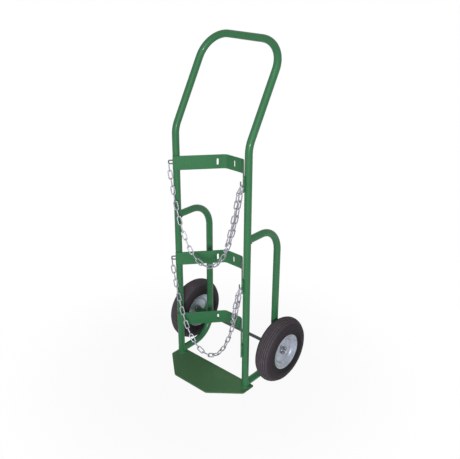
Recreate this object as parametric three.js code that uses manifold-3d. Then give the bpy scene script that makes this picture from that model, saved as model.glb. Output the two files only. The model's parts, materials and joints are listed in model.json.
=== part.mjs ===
// Oxy-acetylene torch cart: a two-wheeled hand truck for a pair of gas cylinders.
// Units are millimetres. +X is the user's left to right, +Y points back to the wheels
// and the person pushing, +Z is up. The origin is on the floor, midway between the
// two uprights. The cart is a mirror image of itself about X = 0, except that the
// chains are fixed to the left ends of the straps and hooked on the right ones.

import * as THREE from 'three';
import { mergeVertices } from 'three/addons/utils/BufferGeometryUtils.js';
import Module from 'manifold-3d';

const wasm = await Module();
wasm.setup();

// ---------- driving dimensions ----------

const fitGap = 0.3;             // between pieces that touch or are welded together

const tubeDiameter = 25.4;      // one inch frame tube
const tubeWall = 2;
const tubeBendRadius = 92;      // on the tube's centre line, every bend of every tube
const uprightSpacing = 329;     // centre to centre
const handleBendHeight = 920;
const handleLean = 29;          // degrees, back from the vertical
const handleLength = 347;       // from the bend to the top bar, centre to centre

const loopArmHeight = 597;      // top arm of each side loop
const loopDepth = 165;          // from the upright to the rear leg

const plateThickness = 5;
const plateWidth = 372;
const plateNoseWidth = 161;
const plateNoseReach = 121.5;   // front edge, in front of the uprights
const plateSideReach = 34;      // where the side edges end, in front of the uprights
const plateHeelReach = 25;      // rear edge, behind the uprights

const strapHeight = 51;
const strapThickness = 5;
const strapCentres = { top: 798, middle: 427, lower: 166 };
const cradleDepth = 121.5;      // from the uprights back to the flat of the strap
const cradleFlatWidth = 80;     // between the strap's two bends
const strapBendRadius = 22;
const strapEndLength = 14;      // past the line where the strap touches its upright
const slotWidth = 7;
const slotHeight = 24;
const slotFromBend = 30;

const wheelDiameter = 250;
const tyreWidth = 68;
const tyreWaist = 170;          // diameter where the tyre is widest
const tyreCrown = 12;           // width of the flat middle of the tread
const wheelSpacing = 437;       // centre plane to centre plane
const axleSetback = 135;        // behind the uprights
const rimDiameter = 136;        // over the flanges
const rimWidth = 57;            // over the flanges
const rimSheet = 2;
const rimWellDepth = 7;         // from the flange's edge down to the tyre's seat
const discEdgeInset = 4.5;      // from the flange's face in to the disc's edge
const discDish = 10.5;          // how far the disc's middle lies behind its edge
const discFlatDiameter = 58;
const hubDiameter = 26;
const hubLength = 32;
const bushWall = 3;
const bushLength = 13;          // inside the hub
const bushFlange = 2;
const bushFlangeRise = 4;

const axleDiameter = 12.7;
const axleOverhang = 9;         // past the outer washer
const runningGap = 0.4;         // axle to bush, and between what turns and what stands
const washerThickness = 2;
const washerDiameter = 29;
const sleeveDiameter = 22;
const sleeveReach = 4;          // past the inner face of its bracket
const bracketThickness = 6;
const bracketNoseRadius = 18;
const bracketHeightAbove = 41;  // along the rear leg, from the axle
const bracketHeightBelow = 15;
const pinWire = 2.8;
const pinFromWasher = 4;

const swingDrop = 1;            // swing line of each chain, below the middle of its strap
const eyeReach = 13.5;          // from the strap's end to the swing line
const eyeSpread = 12;           // between the eye's two legs
const hookSeatLength = 12;
const hookTipRise = 16;
const hookWire = 5;
const hookBend = 4;

const chainWidth = 17;          // over one link
const chainGapBelowHook = 0.3;
const tailForward = 17.2;       // tail's centre line, in front of the hanging chain's
const tailOutward = 3;          // and this much farther from the middle
const tailDrop = 10;            // below the swing line
const clipWire = 4;
const clipWidth = 13;
const clipHeight = 38;
const clipBend = 4.3;
const clipWaist = 3;            // where its slanted middle starts, above its centre
const clipReturn = 9;           // straight part of each open end

// The hanging chain's centre line from its lowest point to one end, each point as
// [distance from the middle, height]. The other half is its mirror image, and the
// last height is the swing line's.
const chainHalf = [
  [0, 0], [28, 5.9], [52.3, 21.3], [72, 42.3], [88.1, 66.2],
  [101.4, 91.8], [112.7, 118.3], [122.4, 145.5], [131, 173], [138.7, 200.8],
  [145.6, 228.8], [151.8, 257], [157.6, 285.2], [162.9, 313.6], [167.8, 342],
];
const upperTailLinks = 9;       // how many of those points the free end runs beside
const lowerTailLinks = 5;

const tubeSides = 14;
const wheelSides = 32;
const smallSides = 16;
const wireSides = 8;
const bendSteps = 7;            // in a right-angled tube bend
const tyreSteps = 6;            // from the rim up to the tread

// ---------- derived places ----------

const tubeRadius = tubeDiameter / 2;
const uprightX = uprightSpacing / 2;
const wheelRadius = wheelDiameter / 2;
const wheelX = wheelSpacing / 2;
const axleRadius = axleDiameter / 2;
const sleeveRadius = sleeveDiameter / 2;
const rimRadius = rimDiameter / 2;
const footHeight = plateThickness + fitGap;
const lean = THREE.MathUtils.degToRad(handleLean);
const handleTop = new THREE.Vector3(
  uprightX,
  handleLength * Math.sin(lean),
  handleBendHeight + handleLength * Math.cos(lean),
);
const loopFootHeight = footHeight + tubeRadius;

// The strap runs past the inner front of its upright and touches it. In plan, for the
// right-hand side, it leaves the upright along strapRun, and strapFace is its inner normal.
const strapOffset = tubeRadius + fitGap + strapThickness / 2;
const strapRun = strapDirection();
const strapFace = new THREE.Vector2(-strapRun.y, strapRun.x);
const strapTouch = new THREE.Vector2(uprightX, 0).addScaledVector(strapFace, strapOffset);
const strapEnd = strapTouch.clone().addScaledVector(strapRun, -strapEndLength);

// ---------- helpers ----------

// Direction of the right-hand leg, from its upright back to its bend: the line that
// passes the upright's axis at strapOffset and ends at the edge of the flat.
function strapDirection() {
  const bend = new THREE.Vector2(cradleFlatWidth / 2, cradleDepth);
  const toBend = bend.clone().sub(new THREE.Vector2(uprightX, 0));
  const turn = Math.asin(strapOffset / toBend.length());
  return toBend.normalize().rotateAround(new THREE.Vector2(), -turn);
}

// A route of straight runs joined by arcs, with points only where it bends.
class BentRoute extends THREE.Curve {
  constructor(corners, radius, stepsPerRightAngle) {
    super();
    this.points = [];
    this.tangents = [];
    const last = corners.length - 1;
    this.addPoint(corners[0], corners[1].clone().sub(corners[0]));
    for (let i = 1; i < last; i += 1) {
      this.addBend(corners[i - 1], corners[i], corners[i + 1], radius, stepsPerRightAngle);
    }
    this.addPoint(corners[last], corners[last].clone().sub(corners[last - 1]));
  }

  addPoint(point, tangent) {
    this.points.push(point.clone());
    this.tangents.push(tangent.clone().normalize());
  }

  addBend(before, corner, after, radius, stepsPerRightAngle) {
    const arriving = corner.clone().sub(before).normalize();
    const leaving = after.clone().sub(corner).normalize();
    const angle = arriving.angleTo(leaving);
    const start = corner.clone().addScaledVector(arriving, -radius * Math.tan(angle / 2));
    const axis = arriving.clone().cross(leaving).normalize();
    const spoke = arriving.clone().cross(axis).multiplyScalar(radius);
    const centre = start.clone().sub(spoke);
    const steps = Math.max(2, Math.round((stepsPerRightAngle * angle) / (Math.PI / 2)));
    for (let i = 0; i <= steps; i += 1) {
      const turned = (angle * i) / steps;
      const point = spoke.clone().applyAxisAngle(axis, turned).add(centre);
      this.addPoint(point, arriving.clone().applyAxisAngle(axis, turned));
    }
  }

  index(u) {
    return Math.round(u * (this.points.length - 1));
  }

  getPointAt(u, target = new THREE.Vector3()) {
    return target.copy(this.points[this.index(u)]);
  }

  getTangentAt(u, target = new THREE.Vector3()) {
    return target.copy(this.tangents[this.index(u)]);
  }
}

function polygon(radius, sides) {
  const points = [];
  for (let i = 0; i < sides; i += 1) {
    const angle = ((i + 0.5) / sides) * 2 * Math.PI;
    points.push(new THREE.Vector2(radius * Math.cos(angle), radius * Math.sin(angle)));
  }
  return points;
}

// The radius at which a polygon's flats, not its corners, touch the given circle.
function outside(radius, sides) {
  return radius / Math.cos(Math.PI / sides);
}

// From the middle of a wire or chain to one of its flats.
function inside(radius) {
  return radius * Math.cos(Math.PI / wireSides);
}

function alongRoute(section, route) {
  return new THREE.ExtrudeGeometry(section, {
    steps: route.points.length - 1,
    extrudePath: route,
  });
}

function hollowTube(route) {
  const section = new THREE.Shape(polygon(tubeRadius, tubeSides));
  section.holes.push(new THREE.Path(polygon(tubeRadius - tubeWall, tubeSides)));
  return alongRoute(section, route);
}

function wire(corners, diameter, bendRadius, steps = 4) {
  const route = new BentRoute(corners, bendRadius, steps);
  return alongRoute(new THREE.Shape(polygon(diameter / 2, wireSides)), route);
}

// A solid of revolution about X. Each profile point is [radius, distance along X].
function turned(profile, sides) {
  const points = profile.map(([radius, along]) => new THREE.Vector2(radius, along));
  if (THREE.ShapeUtils.isClockWise(points)) points.reverse();
  points.push(points[0].clone());
  return new THREE.LatheGeometry(points, sides).rotateZ(-Math.PI / 2);
}

function ring(innerRadius, outerRadius, from, to, sides) {
  const profile = [[innerRadius, from], [outerRadius, from], [outerRadius, to], [innerRadius, to]];
  return turned(profile, sides);
}

function rod(radius, length, sides, axis) {
  const shape = new THREE.CylinderGeometry(radius, radius, length, sides);
  if (axis === 'x') shape.rotateZ(Math.PI / 2);
  if (axis === 'z') shape.rotateX(Math.PI / 2);
  return shape;
}

function toSolid(geometry) {
  const plain = geometry.clone();
  plain.deleteAttribute('normal');
  plain.deleteAttribute('uv');
  const merged = mergeVertices(plain, 1e-4);
  return new wasm.Manifold(new wasm.Mesh({
    numProp: 3,
    vertProperties: new Float32Array(merged.attributes.position.array),
    triVerts: new Uint32Array(merged.index.array),
  }));
}

function cut(geometry, ...tools) {
  const solid = tools.reduce((rest, tool) => rest.subtract(toSolid(tool)), toSolid(geometry));
  const mesh = solid.getMesh();
  const result = new THREE.BufferGeometry();
  result.setAttribute('position', new THREE.BufferAttribute(mesh.vertProperties, 3));
  result.setIndex(new THREE.BufferAttribute(mesh.triVerts, 1));
  result.computeVertexNormals();
  return result;
}

const vector = (x, y, z) => new THREE.Vector3(x, y, z);

// ---------- materials ----------

const finish = (color, roughness, metalness) =>
  new THREE.MeshStandardMaterial({ color, roughness, metalness });

const greenPaint = finish(0x3f7f50, 0.45, 0.0);
const blackRubber = finish(0x3b353b, 0.85, 0.0);
const wheelSteel = finish(0xa2a6b4, 0.4, 0.6);
const darkSteel = finish(0x4a4c50, 0.45, 0.8);
const zincPlate = finish(0xc3c6cb, 0.3, 0.9);
const sinteredBronze = finish(0x8f7a52, 0.5, 0.8);

const cart = new THREE.Group();

function add(parent, name, geometry, material, position = [0, 0, 0]) {
  const mesh = new THREE.Mesh(geometry, material);
  mesh.name = name;
  mesh.position.set(...position);
  parent.add(mesh);
}

// ---------- welded frame ----------

function mainFrame() {
  const { x, y, z } = handleTop;
  const route = new BentRoute([
    vector(-x, 0, footHeight),
    vector(-x, 0, handleBendHeight),
    vector(-x, y, z),
    vector(x, y, z),
    vector(x, 0, handleBendHeight),
    vector(x, 0, footHeight),
  ], tubeBendRadius, bendSteps);
  add(cart, 'main_frame_tube', hollowTube(route), greenPaint);
}

function sideLoop(side, name) {
  const x = side * uprightX;
  const route = new BentRoute([
    vector(x, 0, loopArmHeight),
    vector(x, loopDepth, loopArmHeight),
    vector(x, loopDepth, loopFootHeight),
    vector(x, 0, loopFootHeight),
  ], tubeBendRadius, bendSteps);
  const upright = rod(outside(tubeRadius + fitGap, 32), 2 * loopArmHeight, 32, 'z');
  upright.translate(x, 0, loopArmHeight / 2);
  add(cart, `side_loop_${name}`, cut(hollowTube(route), upright), greenPaint);
}

function slotTool(x, y, z, turn) {
  const radius = slotWidth / 2;
  const straight = slotHeight / 2 - radius;
  const outline = new THREE.Shape();
  outline.absarc(0, straight, radius, 0, Math.PI);
  outline.absarc(0, -straight, radius, Math.PI, 2 * Math.PI);
  const depth = 4 * strapThickness;
  const tool = new THREE.ExtrudeGeometry(outline, { depth, bevelEnabled: false, curveSegments: 5 });
  tool.translate(0, 0, -depth / 2).rotateX(Math.PI / 2).rotateZ(turn).translate(x, y, z);
  return tool;
}

function cradleStrap(name) {
  const z = strapCentres[name];
  const flat = cradleFlatWidth / 2;
  const route = new BentRoute([
    vector(-strapEnd.x, strapEnd.y, z),
    vector(-flat, cradleDepth, z),
    vector(flat, cradleDepth, z),
    vector(strapEnd.x, strapEnd.y, z),
  ], strapBendRadius, bendSteps);
  const halfHeight = strapHeight / 2;
  const halfThickness = strapThickness / 2;
  const section = new THREE.Shape([
    new THREE.Vector2(-halfHeight, -halfThickness),
    new THREE.Vector2(halfHeight, -halfThickness),
    new THREE.Vector2(halfHeight, halfThickness),
    new THREE.Vector2(-halfHeight, halfThickness),
  ]);
  const slotX = flat - strapRun.x * slotFromBend;
  const slotY = cradleDepth - strapRun.y * slotFromBend;
  const turn = Math.atan2(strapRun.y, strapRun.x);
  const bar = cut(
    alongRoute(section, route),
    slotTool(0, cradleDepth, z, 0),
    slotTool(slotX, slotY, z, turn),
    slotTool(-slotX, slotY, z, -turn),
  );
  add(cart, `cradle_strap_${name}`, bar, greenPaint);
}

function toePlate() {
  const side = plateWidth / 2;
  const nose = plateNoseWidth / 2;
  const outline = new THREE.Shape([
    new THREE.Vector2(-side, plateHeelReach),
    new THREE.Vector2(-side, -plateSideReach),
    new THREE.Vector2(-nose, -plateNoseReach),
    new THREE.Vector2(nose, -plateNoseReach),
    new THREE.Vector2(side, -plateSideReach),
    new THREE.Vector2(side, plateHeelReach),
  ]);
  const plate = new THREE.ExtrudeGeometry(outline, { depth: plateThickness, bevelEnabled: false });
  add(cart, 'toe_plate', plate, greenPaint);
}

// ---------- axle, its brackets and what holds the wheels on ----------

const hubHalf = hubLength / 2 + bushFlange;          // over the bush flanges
const outerWasherX = wheelX + hubHalf + runningGap;
const innerWasherX = wheelX - hubHalf - runningGap - washerThickness;
const pinX = outerWasherX + washerThickness + pinFromWasher;
const axleEndX = outerWasherX + washerThickness + axleOverhang;
const bracketInnerX = uprightX - bracketThickness / 2;

function axle() {
  const holeRadius = outside(pinWire / 2 + fitGap, wireSides);
  const holes = [-1, 1].map((side) => {
    const hole = rod(holeRadius, 2 * axleDiameter, wireSides, 'z');
    return hole.rotateZ(Math.PI / wireSides).translate(side * pinX, 0, 0);
  });
  const bar = cut(rod(axleRadius, 2 * axleEndX, smallSides, 'x'), ...holes);
  add(cart, 'axle_rod', bar, darkSteel, [0, axleSetback, wheelRadius]);
}

// A flat tab, welded edge-on to the front of the rear leg, with a round nose.
function axleBracket(side, name) {
  const back = loopDepth - tubeRadius - fitGap - axleSetback;
  const outline = new THREE.Shape();
  outline.moveTo(back, -bracketHeightBelow);
  outline.lineTo(back, bracketHeightAbove);
  const reach = Math.hypot(back, bracketHeightAbove);
  const top = Math.atan2(bracketHeightAbove, back) + Math.acos(bracketNoseRadius / reach);
  outline.absarc(0, 0, bracketNoseRadius, top, 1.5 * Math.PI, false);
  const hole = new THREE.Path(polygon(outside(sleeveRadius + fitGap, smallSides), smallSides));
  outline.holes.push(hole);
  const tab = new THREE.ExtrudeGeometry(outline, {
    depth: bracketThickness, bevelEnabled: false, curveSegments: 8,
  });
  tab.translate(0, 0, -bracketThickness / 2);
  const axes = new THREE.Matrix4().makeBasis(vector(0, 1, 0), vector(0, 0, 1), vector(1, 0, 0));
  tab.applyMatrix4(axes);
  add(cart, `axle_bracket_${name}`, tab, greenPaint, [side * uprightX, axleSetback, wheelRadius]);
}

function axleSleeve(side, name) {
  const from = bracketInnerX - sleeveReach;
  const to = innerWasherX - fitGap;
  const bore = outside(axleRadius + fitGap, smallSides);
  const sleeve = ring(bore, sleeveRadius, side * from, side * to, smallSides);
  add(cart, `axle_sleeve_${name}`, sleeve, greenPaint, [0, axleSetback, wheelRadius]);
}

function washer(side, name, x) {
  const bore = outside(axleRadius + fitGap, smallSides);
  const shape = ring(bore, washerDiameter / 2, 0, side * washerThickness, smallSides);
  add(cart, name, shape, zincPlate, [side * x, axleSetback, wheelRadius]);
}

// A split pin's shape in one bent wire: a ring on top, a straight shank, a turned-out foot.
function cotterPin(side, name) {
  const above = axleRadius + pinWire;
  const corners = [
    vector(0, 3.4, above + 1),
    vector(0, 3.4, above + 8),
    vector(0, -3.6, above + 8),
    vector(0, -3.6, above + 3),
    vector(0, 0, above - 1),
    vector(0, 0, -above),
    vector(0, 5, -above - 4),
  ];
  const place = [side * pinX, axleSetback, wheelRadius];
  add(cart, name, wire(corners, pinWire, 1.6, 3), zincPlate, place);
}

// ---------- wheels ----------

function mirrored(half) {
  const other = half.map(([radius, along]) => [radius, -along]).reverse();
  return [...half, ...other];
}

function rimBand() {
  const floor = rimRadius - rimWellDepth;
  const face = rimWidth / 2;
  return mirrored([
    [floor, 0.6 * face],
    [floor + 0.5, face - rimSheet - 1],
    [rimRadius - 1, face - rimSheet],
    [rimRadius, face - rimSheet / 2],
    [rimRadius - 1, face],
    [floor, face - 0.8],
    [floor - rimSheet, face - 2.5],
    [floor - rimSheet, 0.6 * face],
  ]);
}

function tyreSection() {
  const seat = rimRadius - rimWellDepth + fitGap;
  const bead = rimWidth / 2 - rimSheet - fitGap;
  const waist = tyreWaist / 2;
  const rise = wheelRadius - waist;
  const lowest = Math.asin((rimRadius + 2 - waist) / rise);
  const highest = Math.acos(tyreCrown / tyreWidth) - 0.1;
  const wall = [];
  for (let i = 0; i <= tyreSteps; i += 1) {
    const angle = THREE.MathUtils.lerp(lowest, highest, i / tyreSteps);
    wall.push([waist + rise * Math.sin(angle), (tyreWidth / 2) * Math.cos(angle)]);
  }
  return mirrored([
    [seat, 0.5 * bead],
    [seat + 0.6, bead - 1.5],
    [rimRadius + 0.5, bead + 0.2],
    ...wall,
    [wheelRadius, tyreCrown / 2],
  ]);
}

// Each disc's outer face, from its edge in to the hub, then back along its inner face.
function discSection() {
  const edge = rimRadius - rimWellDepth - rimSheet - fitGap;
  const outer = rimWidth / 2 - discEdgeInset;
  const inner = outer - discDish;
  const bore = hubDiameter / 2 + fitGap;
  const flat = discFlatDiameter / 2;
  const face = [
    [edge, outer],
    [edge - 5, outer - 0.5],
    [0.5 * (edge + flat), outer - 0.45 * discDish],
    [flat, inner + 0.8],
    [flat - 4, inner],
    [bore, inner],
  ];
  const back = face.map(([radius, along]) => [radius, along - rimSheet]).reverse();
  return [...face, ...back];
}

function wheel(side, name) {
  const turning = new THREE.Group();
  turning.position.set(side * wheelX, axleSetback, wheelRadius);
  cart.add(turning);

  const place = (piece, profile, sides, material, sign = side) => {
    const facing = profile.map(([radius, along]) => [radius, sign * along]);
    add(turning, `${name}_${piece}`, turned(facing, sides), material);
  };
  const hubInner = outside(axleRadius + runningGap, smallSides) + bushWall + fitGap;
  const hubHalfLength = hubLength / 2;
  place('tyre', tyreSection(), wheelSides, blackRubber);
  place('rim_band', rimBand(), wheelSides, wheelSteel);
  place('disc_outer', discSection(), wheelSides, wheelSteel);
  place('disc_inner', discSection(), wheelSides, wheelSteel, -side);
  place('hub_tube', [
    [hubInner, -hubHalfLength],
    [hubDiameter / 2, -hubHalfLength],
    [hubDiameter / 2, hubHalfLength],
    [hubInner, hubHalfLength],
  ], wheelSides, wheelSteel);

  const bushInner = outside(axleRadius + runningGap, smallSides);
  const bushOuter = bushInner + bushWall;
  const bush = [
    [bushInner, hubHalfLength - bushLength],
    [bushOuter, hubHalfLength - bushLength],
    [bushOuter, hubHalfLength + fitGap],
    [bushOuter + bushFlangeRise, hubHalfLength + fitGap],
    [bushOuter + bushFlangeRise, hubHalfLength + bushFlange],
    [bushInner, hubHalfLength + bushFlange],
  ];
  place('bush_outer', bush, smallSides, sinteredBronze);
  place('bush_inner', bush, smallSides, sinteredBronze, -side);
}

// ---------- chains, and what they hang on ----------

const swingLine = (strapCentre) => strapCentre - swingDrop;
const endFace = strapEnd.clone().addScaledVector(strapRun, -fitGap);
const hangPoint = endFace.clone().addScaledVector(strapRun, -eyeReach);

// The eye on the strap's left end: a staple whose lower leg carries the first link.
function chainEye(name, strapCentre) {
  const z = swingLine(strapCentre);
  const corners = [
    vector(-endFace.x, endFace.y, z),
    vector(-hangPoint.x, hangPoint.y, z),
    vector(-hangPoint.x, hangPoint.y, z + eyeSpread),
    vector(-endFace.x, endFace.y, z + eyeSpread),
  ];
  add(cart, name, wire(corners, hookWire, hookBend), greenPaint);
}

// The hook on the strap's right end: forward to the swing line, inward along it, and up.
function chainHook(name, strapCentre) {
  const z = swingLine(strapCentre);
  const corners = [
    vector(endFace.x, endFace.y, z),
    vector(hangPoint.x, hangPoint.y, z),
    vector(hangPoint.x - hookSeatLength, hangPoint.y, z),
    vector(hangPoint.x - hookSeatLength, hangPoint.y, z + hookTipRise),
  ];
  add(cart, name, wire(corners, hookWire, hookBend), greenPaint);
}

// A hanging line whose top ends point straight up and down, so their end faces lie level.
class HangingLine extends THREE.CatmullRomCurve3 {
  getTangentAt(u, target) {
    const tangent = super.getTangentAt(u, target);
    const atTop = (u === 0 && tangent.z < 0) || (u === 1 && tangent.z > 0);
    return atTop ? tangent.set(0, 0, Math.sign(tangent.z)) : tangent;
  }
}

function chainStrand(name, points, steps) {
  const section = new THREE.Shape(polygon(chainWidth / 2, wireSides));
  const extrudePath = new HangingLine(points);
  add(cart, name, new THREE.ExtrudeGeometry(section, { steps, extrudePath }), zincPlate);
}

// Both chains hang in one upright plane, from the eye to the middle of the hook's seat.
const chainPlane = hangPoint.y;
const chainMiddle = -hookSeatLength / 4;
const chainSag = chainHalf.at(-1)[1];

function chainPoint([x, rise], strapCentre, forward, outward, drop) {
  const height = Math.min(rise, chainSag - drop) - chainSag;
  return vector(chainMiddle + x + outward, chainPlane - forward, swingLine(strapCentre) + height);
}

function hangingChain(name, strapCentre) {
  const drop = hookWire / 2 + chainGapBelowHook;
  const right = chainHalf.map((place) => chainPoint(place, strapCentre, 0, 0, drop));
  const left = right.slice(1).reverse().map(({ x, y, z }) => vector(2 * chainMiddle - x, y, z));
  chainStrand(name, [...left, ...right], 24);
}

// The spare length hangs from the hook beside the chain, and a clip holds its last link.
function chainTail(tailName, clipName, strapCentre, links) {
  const points = chainHalf.slice(-links).reverse().map((place) => (
    chainPoint(place, strapCentre, tailForward, tailOutward, tailDrop)
  ));
  chainStrand(tailName, points, 2 * links - 2);

  const end = points.at(-1);
  const up = points.at(-2).clone().sub(end).normalize();
  const across = vector(up.z, 0, -up.x);
  const back = tailForward - inside(chainWidth / 2) - inside(clipWire / 2) - fitGap;
  const centre = end.clone().addScaledVector(up, -(clipHeight + clipWire) / 2 - fitGap);
  centre.y += back;
  const half = clipWidth / 2 - clipWire / 2;
  const top = clipHeight / 2;
  const outline = [
    [half, top - clipReturn], [half, top], [-half, top], [-half, clipWaist],
    [half, -clipWaist], [half, -top], [-half, -top], [-half, clipReturn - top],
  ];
  const corners = outline.map(([u, v]) => (
    centre.clone().addScaledVector(across, u).addScaledVector(up, v)
  ));
  add(cart, clipName, wire(corners, clipWire, clipBend, 3), zincPlate);
}

// ---------- the whole cart ----------

mainFrame();
toePlate();
for (const name of Object.keys(strapCentres)) cradleStrap(name);
axle();
for (const [side, name] of [[-1, 'left'], [1, 'right']]) {
  sideLoop(side, name);
  axleBracket(side, name);
  axleSleeve(side, name);
  wheel(side, `${name}_wheel`);
  washer(side, `${name}_washer_outer`, outerWasherX);
  washer(side, `${name}_washer_inner`, innerWasherX);
  cotterPin(side, `${name}_cotter_pin`);
}
for (const [name, strap, links] of [
  ['upper', strapCentres.top, upperTailLinks],
  ['lower', strapCentres.middle, lowerTailLinks],
]) {
  chainEye(`${name}_chain_eye`, strap);
  chainHook(`${name}_chain_hook`, strap);
  hangingChain(`${name}_chain`, strap);
  chainTail(`${name}_chain_tail`, `${name}_chain_clip`, strap, links);
}

export default cart;
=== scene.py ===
"""Two-wheeled gas cylinder cart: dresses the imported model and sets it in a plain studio.

Metres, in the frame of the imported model: +X is left to right, +Y points back to the
wheels, +Z is up, and the origin is on the floor midway between the two uprights.
"""

import json
import math

import bmesh
import bpy
from bpy.props import FloatProperty, FloatVectorProperty, IntProperty, PointerProperty
from mathutils import Matrix, Vector

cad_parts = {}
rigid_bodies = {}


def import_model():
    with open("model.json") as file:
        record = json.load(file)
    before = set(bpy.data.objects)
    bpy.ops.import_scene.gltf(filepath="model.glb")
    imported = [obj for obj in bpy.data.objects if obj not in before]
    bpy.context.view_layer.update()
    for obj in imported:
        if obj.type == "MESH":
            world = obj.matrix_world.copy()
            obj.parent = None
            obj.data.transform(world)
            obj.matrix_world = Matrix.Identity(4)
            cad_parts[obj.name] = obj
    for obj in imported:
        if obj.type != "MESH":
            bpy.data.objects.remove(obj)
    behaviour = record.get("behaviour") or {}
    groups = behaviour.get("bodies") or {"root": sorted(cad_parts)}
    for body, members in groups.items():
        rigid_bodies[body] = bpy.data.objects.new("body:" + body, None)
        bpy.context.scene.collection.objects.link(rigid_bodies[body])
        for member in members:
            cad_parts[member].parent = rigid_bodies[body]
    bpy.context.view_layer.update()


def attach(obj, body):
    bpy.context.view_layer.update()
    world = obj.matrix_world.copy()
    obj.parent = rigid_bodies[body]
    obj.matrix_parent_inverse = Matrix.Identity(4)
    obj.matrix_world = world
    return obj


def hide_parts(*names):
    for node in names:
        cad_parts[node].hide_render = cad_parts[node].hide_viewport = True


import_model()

bl_info = {
    "name": "Gas Cylinder Cart",
    "version": (1, 0, 0),
    "blender": (4, 5, 0),
    "location": "3D View > Sidebar > Cart",
    "description": "Builds a welded cylinder cart, its wheels and its chains",
    "category": "Object",
}

MM = 0.001
X_AXIS = Vector((1, 0, 0))
Y_AXIS = Vector((0, 1, 0))
Z_AXIS = Vector((0, 0, 1))

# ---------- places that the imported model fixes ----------

UPRIGHT_X = 164.5 * MM
TUBE_RADIUS = 12.7 * MM
TUBE_BEND = 92 * MM
HANDLE_BEND_Z = 920 * MM
HANDLE_TOP = Vector((UPRIGHT_X, 168.2 * MM, 1223.5 * MM))
LOOP_DEPTH = 165 * MM
LOOP_TOP_Z = 597 * MM
LOOP_FOOT_Z = 18 * MM
PLATE_THICKNESS = 5 * MM

STRAP_HEIGHTS = {"top": 798 * MM, "middle": 427 * MM, "lower": 166 * MM}
STRAP_HEIGHT = 51 * MM
STRAP_THICKNESS = 5 * MM
STRAP_BEND = 22 * MM
CRADLE_DEPTH = 121.5 * MM
CRADLE_FLAT = 40 * MM
STRAP_END_LENGTH = 14 * MM
SLOT_FROM_BEND = 30 * MM

AXLE_Y = 135 * MM
AXLE_Z = 125 * MM
AXLE_RADIUS = 6.35 * MM
AXLE_END_X = 247.9 * MM
WHEEL_X = 218.5 * MM
HUB_RADIUS = 13 * MM
HUB_HALF = 16 * MM
BUSH_BORE = 6.9 * MM
BUSH_RADIUS = 9.7 * MM
BUSH_LENGTH = 13 * MM
BUSH_FLANGE = 2 * MM
BUSH_FLANGE_RADIUS = 13.8 * MM
WASHER_RADIUS = 14.5 * MM
WASHER_BORE = 6.8 * MM
WASHER_THICKNESS = 2 * MM
OUTER_WASHER_X = 236.9 * MM
INNER_WASHER_X = 198.1 * MM
PIN_X = 242.9 * MM
SLEEVE_RADIUS = 11 * MM
SLEEVE_FROM_X = 157.5 * MM
SLEEVE_TO_X = 197.8 * MM
BRACKET_HALF = 3 * MM

HANG_Y = -31.2 * MM
HANG_X = 170.8 * MM
EYE_SPREAD = 12 * MM
HOOK_SEAT = 12 * MM
HOOK_RISE = 16 * MM
HOOK_WIRE = 2.5 * MM
HOOK_BEND = 4 * MM
SWING_LINES = {"upper": 797 * MM, "lower": 426 * MM}

# The hanging chain from its lowest point to one end: distance from the middle and height.
CHAIN_HALF = [
    (0, 0), (28, 5.9), (52.3, 21.3), (72, 42.3), (88.1, 66.2),
    (101.4, 91.8), (112.7, 118.3), (122.4, 145.5), (131, 173), (138.7, 200.8),
    (145.6, 228.8), (151.8, 257), (157.6, 285.2), (162.9, 313.6), (167.8, 342),
]
CHAIN_MIDDLE_X = -3
CHAIN_SAG = 342
CHAIN_WIDTH = 17 * MM
TAIL_FORWARD = 17.2 * MM


# ---------- what a user may change ----------

class CartSizes(bpy.types.PropertyGroup):
    tube_sides: IntProperty(
        name="Tube Sides", description="Facets round a frame tube", default=32, min=12)
    bend_steps: IntProperty(
        name="Bend Steps", description="Facets along a right-angled bend", default=20, min=4)
    weld_bead: FloatProperty(
        name="Weld Bead", description="Half the width of a weld bead",
        default=2.6 * MM, subtype="DISTANCE", unit="LENGTH")
    weld_ripple: FloatProperty(
        name="Weld Ripple", description="Spacing of the ripples along a weld bead",
        default=2.4 * MM, subtype="DISTANCE", unit="LENGTH")
    edge_round: FloatProperty(
        name="Edge Rounding", description="Rounding of the flat bars' edges",
        default=0.7 * MM, subtype="DISTANCE", unit="LENGTH")
    plate_corner: FloatProperty(
        name="Plate Corner", description="How far each corner of the toe plate is cut back",
        default=5 * MM, subtype="DISTANCE", unit="LENGTH")
    groove_depth: FloatProperty(
        name="Tread Groove", description="Depth of the grooves round the tread",
        default=2.2 * MM, subtype="DISTANCE", unit="LENGTH")
    wall_rib: FloatProperty(
        name="Wall Rib", description="Height of the ribs round the tyre's walls",
        default=0.9 * MM, subtype="DISTANCE", unit="LENGTH")
    link_wire: FloatProperty(
        name="Link Wire", description="Thickness of the wire of a chain link",
        default=4.2 * MM, subtype="DISTANCE", unit="LENGTH")
    link_pitch: FloatProperty(
        name="Link Pitch", description="Chain length that one link takes up",
        default=28.02 * MM, subtype="DISTANCE", unit="LENGTH")


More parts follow.
